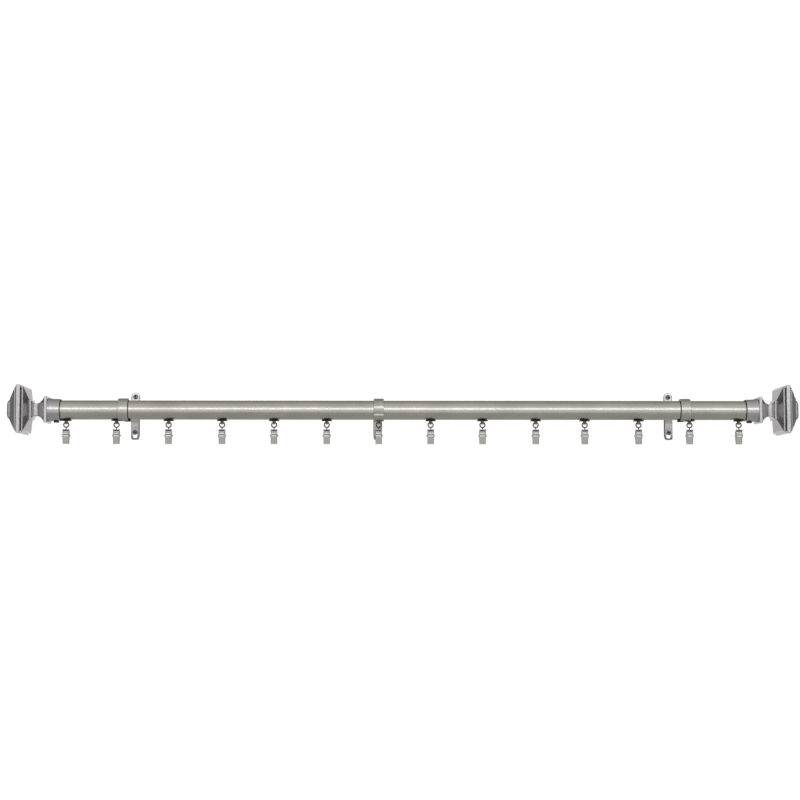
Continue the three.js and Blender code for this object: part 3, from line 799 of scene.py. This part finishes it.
def make_gliders():
    body_mesh = new_mesh("glider_body", *glider_parts(), bevel=0.25)
    hole = new_mesh("lug_hole", *turned([(-4, 0.02), (-4, 1.4), (4, 1.4), (4, 0.02)], 24, "x"))
    hole.transform(Matrix.Translation((0, 0, LUG_HOLE_HEIGHT * MM)))
    lug_mesh = new_mesh(
        "glider_lug", *prism(lug_outline(2.5, -18.1, -15.5), -1.8, 1.8, "x"),
        bevel=0.25, cutters=[hole])
    for index, station in enumerate(STATIONS):
        number = f"{index + 1:02d}"
        at = (station, AXIS_Y, 0)
        piece(f"glider_body_{number}", body_mesh, "glider", f"glider_{number}", at,
              [f"glider_{number}"])
        piece(f"glider_lug_{number}", lug_mesh, "lug", f"glider_{number}", at)


# ---- Clips ------------------------------------------------------------------------------------


def sheet(xs, zs, front, thickness, skip=lambda x, z: False):
    """A pressed sheet on a grid: front(x, z) is its front face, and skip leaves openings."""
    verts, faces = [], []
    cols = len(zs)
    for x in xs:
        for z in zs:
            y = front(x, z)
            verts.append((x, y, z))
            verts.append((x, y + thickness, z))

    def index(i, j, back):
        return 2 * (i * cols + j) + back

    def present(i, j):
        if not (0 <= i < len(xs) - 1 and 0 <= j < cols - 1):
            return False
        return not skip((xs[i] + xs[i + 1]) / 2, (zs[j] + zs[j + 1]) / 2)

    for i in range(len(xs) - 1):
        for j in range(cols - 1):
            if not present(i, j):
                continue
            corners = [(i, j), (i + 1, j), (i + 1, j + 1), (i, j + 1)]
            faces.append([index(*c, 0) for c in corners])
            faces.append([index(*c, 1) for c in reversed(corners)])
            for k, (di, dj) in enumerate(((0, -1), (1, 0), (0, 1), (-1, 0))):
                if not present(i + di, j + dj):
                    a, b = corners[k], corners[(k + 1) % 4]
                    faces.append([index(*a, 0), index(*a, 1), index(*b, 1), index(*b, 0)])
    used = sorted({i for face in faces for i in face})
    order = {old: new for new, old in enumerate(used)}
    return [verts[i] for i in used], [[order[i] for i in face] for face in faces]


def steps_between(low, high, count):
    return [low + (high - low) * i / count for i in range(count + 1)]


def rib(z, centre, half):
    """A rounded bead across the sheet."""
    t = abs(z - centre) / half
    return math.cos(t * math.pi / 2) ** 2 if t < 1 else 0.0


def jaw_front(z, spread, sheet_front):
    """How far the jaw's outer face stands from the clip's middle at height z."""
    knee, foot = -38.2, -49.0
    if z >= knee:
        return spread
    share = (z - knee) / (foot - knee)
    return spread + (sheet_front - spread) * share


# The front jaw's face from its top bend to its foot: (height, distance out from the middle).
# The window is between -28.4 and -30.9, and the two raised bars are between the notches.
FRONT_PROFILE = [
    (-27.6, 2.75), (-27.8, 3.0), (-28.1, 3.15), (-28.4, 3.15), (-29.2, 3.15), (-30.1, 3.15),
    (-30.9, 3.15), (-31.4, 3.1), (-32.1, 3.2), (-32.5, 2.6), (-32.9, 3.5), (-33.0, 3.58),
    (-34.7, 3.67), (-34.85, 3.6), (-35.5, 2.6), (-36.2, 3.55), (-36.3, 3.62), (-38.1, 3.72),
    (-38.25, 3.64), (-38.55, 3.05), (-38.8, 3.02), (-48.8, 0.98), (-49.0, 0.95),
]


def front_jaw_parts():
    """The front jaw: a pressed sheet with a window near its top and two raised bars."""
    half = [1.1, 2.2, 3.2, 3.8, 4.1, 4.4, 4.6, 4.75]
    xs = [-x for x in reversed(half)] + [0] + half
    zs = sorted({z for z, _ in FRONT_PROFILE} | set(steps_between(-48.7, -38.9, 8)), reverse=True)

    def front(x, z):
        for (z_high, high), (z_low, low) in zip(FRONT_PROFILE, FRONT_PROFILE[1:]):
            if z_low <= z <= z_high:
                out = high + (low - high) * (z_high - z) / (z_high - z_low)
        inset = 3.15 if z > -38.6 else out
        across = ease((4.2 - abs(x)) / 0.4)
        edge = 1.2 if z > -31.6 else 0.45
        round_in = edge * max(0.0, (abs(x) - 3.8) / 0.95) ** 2
        return round_in - (inset + (out - inset) * across)

    def window(x, z):
        return abs(x) < 3.8 and -30.9 < z < -28.4

    def narrowed(verts):
        """The jaw narrows a little towards its foot."""
        return [(x * (1 - 0.03 * ease((-39.0 - z) / 10.0)), y, z) for x, y, z in verts]

    verts, faces = sheet(xs, zs, front, 0.8, window)
    return narrowed(verts), faces


def front_ear_parts():
    """The folded ears that carry the pin, one at each side of the front jaw."""
    parts = []
    for side in (-1, 1):
        outline = []
        for i in range(13):
            angle = -math.pi / 2 + math.pi * i / 12
            outline.append((
                0.1 + 1.5 * math.cos(angle), CLIP_PIN_HEIGHT + 1.7 * math.sin(angle)))
        outline += [(-2.9, -35.0), (-3.1, -35.2), (-3.1, -38.2), (-2.9, -38.4)]
        low, high = sorted((side * 4.6, side * 5.5))
        parts.append(prism(outline, low, high, "x"))
    return joined(*parts)


def back_jaw_parts():
    """The back jaw and its lever in one sheet, with the ears that turn on the pin."""
    xs = [-4.6, -4.35, -4.1, -3.3, -1.8, 0, 1.8, 3.3, 4.1, 4.35, 4.6]
    zs = [-30.0, -30.3, -31.0, -32.2] + steps_between(-33.0, -39.3, 14)
    zs += steps_between(-40.0, -48.6, 12) + [-48.8, -49.0]

    def front(x, z):
        hollow = 0.3 * rib(z, -35.6, 1.2) * max(0.0, 1 - abs(x) / 3.6)
        return jaw_front(z, 3.2, 0.95) - 0.8 - hollow

    verts, faces = sheet(xs, zs, front, 0.8)
    ears = []
    for side in (-1, 1):
        outline = []
        for i in range(11):
            angle = math.pi / 2 + math.pi * i / 10
            outline.append((
                0.1 + 1.5 * math.cos(angle), CLIP_PIN_HEIGHT + 1.5 * math.sin(angle)))
        outline += [(2.9, -38.2), (2.9, -35.2)]
        low, high = sorted((side * 3.7, side * 4.55))
        ears.append(prism(outline, low, high, "x"))
    return joined((verts, faces), *ears)


def eye_parts():
    """The wire: a closed eye that hangs on the glider's lug and a short stem to the jaw."""
    centre, radius = -21.15, 3.65
    ring = [
        (radius * math.sin(TAU * i / 40), 0, centre + radius * math.cos(TAU * i / 40))
        for i in range(40)
    ]
    stem = bezier((-0.35, 0, -24.9), (-0.1, 0.0, -26.4), (0.35, -0.5, -27.6), 6)
    stem += bezier((0.35, -0.5, -27.6), (0.75, -1.0, -28.6), (0.3, -1.9, -29.2), 5)[1:]
    return joined(tube(ring, 0.92, 14, closed=True), tube(stem, 0.72, 12))


def hook_parts():
    """The folded bridge over the jaws and the tab inside the window that holds the wire.
    Both wear the near-black wire finish as painted shade at the jaw's top and in its window; the
    tab is a dark sheet standing where the window shows only shade.
    """
    return joined(
        round_box((-2.2, -2.2, -28.55), (2.2, 0.9, -27.75), 0.4),
        round_box((-4.1, -2.2, -31.4), (4.1, -1.95, -28.2), 0.12, axis="y"),
    )


def pin_parts():
    """The hinge pin, with a head at each end."""
    profile = [
        (-6.1, 0.02), (-6.1, 0.75), (-5.95, 1.0), (-5.7, 1.0), (-5.7, 0.8),
        (5.7, 0.8), (5.7, 1.0), (5.95, 1.0), (6.1, 0.75), (6.1, 0.02),
    ]
    return moved(turned(profile, 20, "x"), (0, 0, CLIP_PIN_HEIGHT))


SPRING_WIRE = 0.32


def spring_parts():
    """A torsion coil round the pin, with one leg that follows the back jaw."""
    path = [(-2.4, 2.0, -33.5), (-2.4, 1.8, -34.6), (-2.4, 1.55, -35.9)]
    turns, per_turn, coil = 5, 16, 1.45
    for i in range(turns * per_turn + 1):
        angle = TAU * i / per_turn
        path.append((
            -2.4 + 4.8 * i / (turns * per_turn),
            coil * math.cos(angle), CLIP_PIN_HEIGHT + coil * math.sin(angle)))
    return tube(path, SPRING_WIRE, 8)


def spring_leg_parts():
    """The coil's other leg, which stays against the front jaw."""
    path = [(2.4, 1.45, -36.6), (2.4, 1.4, -35.6), (2.35, 0.2, -34.2), (2.3, -1.6, -32.6)]
    return tube(path, SPRING_WIRE, 8)


def make_clips():
    meshes = {
        "eye": new_mesh("clip_eye", *eye_parts(), sharp=50),
        "front": new_mesh("clip_front_jaw", *front_jaw_parts(), sharp=22),
        "ears": new_mesh("clip_ears", *front_ear_parts(), bevel=0.25),
        "hook": new_mesh("clip_hook", *hook_parts(), bevel=0.15),
        "pin": new_mesh("clip_pin", *pin_parts(), sharp=40),
        "spring": new_mesh("clip_spring", *spring_parts(), sharp=60),
        "leg": new_mesh("clip_spring_leg", *spring_leg_parts(), sharp=60),
        "back": new_mesh("clip_back_jaw", *back_jaw_parts(), sharp=45),
    }
    finishes = {
        "eye": ("wire", "clip"), "front": ("clip", "clip"), "ears": ("clip", "clip"),
        "hook": ("wire", "clip"), "pin": ("blackened", "blackened"),
        "spring": ("spring", "clip"), "leg": ("spring", "clip"), "back": ("clip", "clip"),
    }
    for index, station in enumerate(STATIONS):
        number = f"{index + 1:02d}"
        for kind, mesh in meshes.items():
            body = f"jaw_{number}" if kind in ("spring", "back") else f"clip_{number}"
            stands_for = {"front": [f"clip_{number}"], "back": [f"jaw_{number}"]}.get(kind, ())
            material, slot = finishes[kind]
            piece(f"clip_{kind}_{number}", mesh, material, body,
                  (station, AXIS_Y, 0), stands_for)


# ---- Stage, light and camera ------------------------------------------------------------------


def make_stage():
    """A plain pale floor, low enough to leave room for looking at the rod from below."""
    half, height = 5.2, -2.6
    mesh = bpy.data.meshes.new("floor")
    corners = [(-half, -half), (half, -half), (half, half), (-half, half)]
    mesh.from_pydata([(x, y, height) for x, y in corners], [], [[0, 1, 2, 3]])
    floor = bpy.data.objects.new("floor", mesh)
    bpy.context.scene.collection.objects.link(floor)
    n = Nodes("pale_floor", (0.8, 0.8, 0.79), 0.0, 0.75)
    cloud = n.noise((0.8, 0.8, 0.8), 2.0, 0.5)
    tint = n.ramp(cloud, [(0.3, (0.86, 0.86, 0.855)), (0.7, (0.9, 0.9, 0.89))])
    mesh.materials.append(n.wire(tint))


# Brightness of the studio by height angle: 0 degrees is level in front of the rod, 90 is
# straight up and 180 is level behind it.
STUDIO = [
    (-180, 0.3), (-120, 0.3), (-90, 0.4), (-60, 0.52), (-40, 0.7), (-25, 0.86), (-8, 0.9),
    (4, 0.92), (9, 1.15), (12, 3.6), (17, 3.6), (20.5, 1.2), (27, 0.95), (40, 0.84), (55, 0.76),
    (70, 0.68), (90, 0.58), (105, 0.46), (125, 0.32), (145, 0.3), (180, 0.3),
]
STRIP_LIGHT = (11, 18)
WALL_BEHIND = (0.86, 0.85, 0.87)
BACKDROP = 1.04


def make_world():
    """Reflections and light come from a studio; the camera itself sees a white backdrop."""
    world = bpy.data.worlds.new("studio")
    bpy.context.scene.world = world
    world.use_nodes = True
    tree = world.node_tree
    tree.nodes.clear()

    def node(kind, **settings):
        made = tree.nodes.new(kind)
        for key, value in settings.items():
            setattr(made, key, value)
        return made

    def math_node(operation, first, second=None):
        made = node("ShaderNodeMath", operation=operation)
        for slot, source in enumerate((first, second)):
            if isinstance(source, (int, float)):
                made.inputs[slot].default_value = source
            elif source is not None:
                tree.links.new(source, made.inputs[slot])
        return made.outputs[0]

    def smooth(source, start, end, low, high):
        made = node("ShaderNodeMapRange", interpolation_type="SMOOTHSTEP")
        limits = {"From Min": start, "From Max": end, "To Min": low, "To Max": high}
        for name, value in limits.items():
            made.inputs[name].default_value = value
        tree.links.new(source, made.inputs["Value"])
        return made.outputs["Result"]

    direction = node("ShaderNodeTexCoord").outputs["Generated"]
    split = node("ShaderNodeSeparateXYZ")
    tree.links.new(direction, split.inputs[0])
    x, y, z = split.outputs
    angle = math_node("ARCTAN2", z, math_node("MULTIPLY", y, -1.0))
    turn = math_node("ADD", math_node("DIVIDE", angle, TAU), 0.5)
    ramp = node("ShaderNodeValToRGB")
    elements = ramp.color_ramp.elements
    top = 1.15 * max(value for _, value in STUDIO)
    while len(elements) < len(STUDIO):
        elements.new(0.5)
    for element, (degrees, value) in zip(elements, STUDIO):
        element.position = degrees / 360 + 0.5
        tint = (0.96, 0.97, 1.1) if STRIP_LIGHT[0] < degrees < STRIP_LIGHT[1] else (1, 0.99, 0.955)
        element.color = (*(value / top * c for c in tint), 1)
    tree.links.new(turn, ramp.inputs["Fac"])
    across = math_node("ABSOLUTE", x)
    aside = smooth(across, 0.25, 0.9, 1.0, 0.25)
    wings = smooth(across, 0.6, 0.9, 0.15, 0.22)
    behind = smooth(y, 0.86, 0.93, 0.0, 1.0)
    studio = node("ShaderNodeVectorMath", operation="SCALE")
    tree.links.new(ramp.outputs["Color"], studio.inputs[0])
    tree.links.new(math_node("MULTIPLY", aside, top), studio.inputs["Scale"])
    lifted = node("ShaderNodeVectorMath", operation="ADD")
    tree.links.new(studio.outputs[0], lifted.inputs[0])
    shade = math_node("MULTIPLY", wings, math_node("SUBTRACT", 1.0, aside))
    tree.links.new(shade, lifted.inputs[1])
    wall = node("ShaderNodeMix", data_type="VECTOR")
    tree.links.new(behind, wall.inputs[0])
    tree.links.new(lifted.outputs[0], wall.inputs[4])
    wall.inputs[5].default_value = WALL_BEHIND
    light = node("ShaderNodeBackground")
    tree.links.new(wall.outputs[1], light.inputs["Color"])
    backdrop = node("ShaderNodeBackground")
    backdrop.inputs["Color"].default_value = (1, 1, 1, 1)
    backdrop.inputs["Strength"].default_value = BACKDROP
    seen = node("ShaderNodeMixShader")
    tree.links.new(node("ShaderNodeLightPath").outputs["Is Camera Ray"], seen.inputs[0])
    tree.links.new(light.outputs[0], seen.inputs[1])
    tree.links.new(backdrop.outputs[0], seen.inputs[2])
    output = node("ShaderNodeOutputWorld")
    tree.links.new(seen.outputs[0], output.inputs["Surface"])


def make_camera():
    camera = bpy.data.objects.new("camera", bpy.data.cameras.new("camera"))
    bpy.context.scene.collection.objects.link(camera)
    camera.data.lens = 74.9
    camera.data.shift_x = 0.026
    camera.data.sensor_width = 36
    camera.data.clip_start = 0.05
    camera.data.clip_end = 60
    camera.location = (-0.029, -2.530, -0.171)
    target = Vector((0.0007, -0.130, 0.015))
    camera.rotation_mode = "QUATERNION"
    camera.rotation_quaternion = (target - camera.location).to_track_quat("-Z", "Y")
    bpy.context.scene.camera = camera
    bpy.context.scene.view_settings.view_transform = "Standard"


make_pole()
make_finials()
make_brackets()
make_shade_sleeves()
make_stops()
make_gliders()
make_clips()
make_stage()
make_world()
make_camera()
